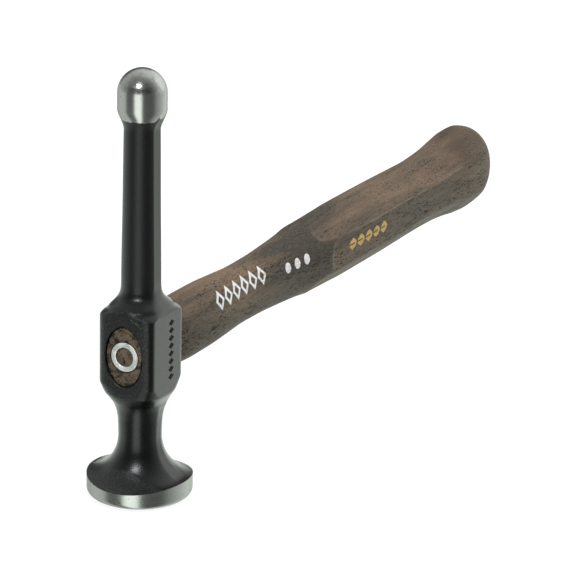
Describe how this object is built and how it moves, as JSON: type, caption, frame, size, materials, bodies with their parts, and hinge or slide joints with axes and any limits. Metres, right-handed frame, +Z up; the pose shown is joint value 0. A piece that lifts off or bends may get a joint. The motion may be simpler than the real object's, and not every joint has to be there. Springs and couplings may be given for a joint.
{
  "type": "ball peen hammer",
  "caption": "Panel beater's hammer: forged head with a round flat face and a ball peen on a long shaft, on a waisted hickory handle spread by a steel ring wedge.",
  "frame": {"origin": "centre of the flat striking face", "axes": "+Z up the head from the striking face to the ball peen, +Y along the handle away from the head, +X out of the cheek on the right when seen from the front of the eye"},
  "size_m": [0.038, 0.339, 0.1538],
  "materials": {
    "lacquered_steel": "semi-gloss black lacquer over drop-forged steel",
    "ground_steel": "ground on the rim and face, polished on the ball, plain on the ring",
    "hickory": "dark stain, satin, open pores along the grain"
  },
  "bodies": {
    "root": {"hammer_head": "lacquered_steel", "handle": "hickory", "ring_wedge": "ground_steel"}
  },
  "joints": []
}
